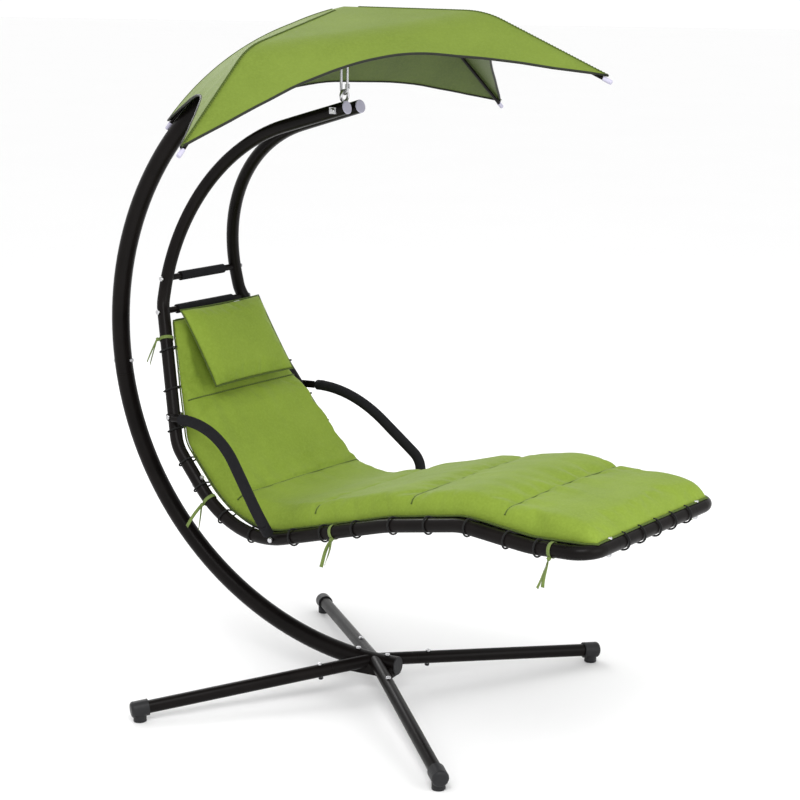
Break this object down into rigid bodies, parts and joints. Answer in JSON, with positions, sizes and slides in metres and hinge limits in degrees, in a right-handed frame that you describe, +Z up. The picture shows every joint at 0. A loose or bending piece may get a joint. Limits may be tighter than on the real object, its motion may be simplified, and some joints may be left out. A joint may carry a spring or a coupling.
{
  "type": "hanging chaise lounger with arched stand and canopy",
  "caption": "Cushioned lounger hung from a snap link on a C-shaped tube stand with a base and a cloth canopy; it swings and turns.",
  "frame": {"origin": "centre of the bounding box on the floor under the four foot pads", "axes": "+Z up, +X from the head end to the foot end along the stand, +Y to the left of a person sitting in it"},
  "size_m": [1.9261, 1.8264, 2.006],
  "materials": {
    "black_steel": "gloss powder coat",
    "zinc_steel": "zinc plated",
    "black_plastic": "moulded, satin",
    "pale_plastic": "moulded, glossy",
    "black_foam": "foam grip",
    "black_cord": "braided elastic cord",
    "sling_mesh": "woven mesh",
    "green_cloth": "woven polyester, matt"
  },
  "bodies": {
    "stand": {"arch_joint_bolt": "zinc_steel", "arch_joint_nut": "zinc_steel", "arch_bottom_plug": "black_plastic", "arch_tip_plug": "black_plastic", "leg_back_right": "black_steel", "leg_front_right": "black_steel", "leg_front_left": "black_steel", "leg_back_left": "black_steel", "base_hub": "black_steel", "hub_bolts": "zinc_steel", "leg_bolts": "zinc_steel", "leg_bolt_nuts": "black_plastic", "arch_lower_tube": "black_steel", "foot_cap_back_right": "black_plastic", "foot_cap_front_right": "black_plastic", "foot_cap_front_left": "black_plastic", "foot_cap_back_left": "black_plastic", "swivel_bush": "black_plastic", "canopy_hub": "black_plastic", "canopy_rib_front": "black_steel", "canopy_rib_right": "black_steel", "canopy_rib_left": "black_steel", "canopy_rib_back": "black_steel", "canopy_rib_tips": "pale_plastic", "canopy_cloth": "green_cloth", "arch_upper_tube": "black_steel"},
    "swivel": {"swivel_eye": "zinc_steel", "swivel_eye_nut": "zinc_steel"},
    "snap_link": {"snap_link_body": "zinc_steel", "snap_link_gate_pin": "zinc_steel"},
    "gate": {"snap_link_gate": "zinc_steel"},
    "lounger": {"shoulder_bar": "black_steel", "shoulder_bar_sleeve": "black_foam", "head_bar": "black_steel", "head_bar_sleeve": "black_foam", "crossbar_screws": "zinc_steel", "armrest_right": "black_steel", "armrest_left": "black_steel", "armrest_sleeve_right": "black_foam", "armrest_sleeve_left": "black_foam", "armrest_bolts": "zinc_steel", "foot_bar": "black_steel", "lounger_eye": "zinc_steel", "saddle_washers": "zinc_steel", "hanger_bolt": "zinc_steel", "hanger_bolt_nut": "zinc_steel", "hanger_end_plugs": "pale_plastic", "hanger_tube_right": "black_steel", "hanger_tube_left": "black_steel", "seat_rail_right": "black_steel", "seat_rail_left": "black_steel", "frame_bolts": "zinc_steel", "frame_bolt_nuts": "zinc_steel", "sling": "sling_mesh", "sling_laces": "black_cord", "cushion_ties": "green_cloth", "cushion": "green_cloth", "pillow": "green_cloth"}
  },
  "joints": [
    {"name": "hook_swivel", "type": "hinge", "parent": "stand", "child": "swivel", "pos_m": [-0.13247, 0, 1.88765], "axis": [0, 0, 1], "range_deg": [-14, 36]},
    {"name": "fore_aft_swing", "type": "hinge", "parent": "swivel", "child": "snap_link", "pos_m": [-0.13247, 0, 1.87265], "axis": [0.1908, 0.9816, 0], "range_deg": [-12, 7]},
    {"name": "side_swing", "type": "hinge", "parent": "snap_link", "child": "lounger", "pos_m": [-0.13247, 0, 1.766], "axis": [0.9816, -0.1908, 0], "range_deg": [-8, 8]},
    {"name": "link_gate", "type": "hinge", "parent": "snap_link", "child": "gate", "pos_m": [-0.12119, -0.00219, 1.789], "axis": [0.1908, 0.9816, 0], "range_deg": [-11, 0], "stiffness_Nm_per_rad": 0.05, "springref_deg": 5.73}
  ]
}
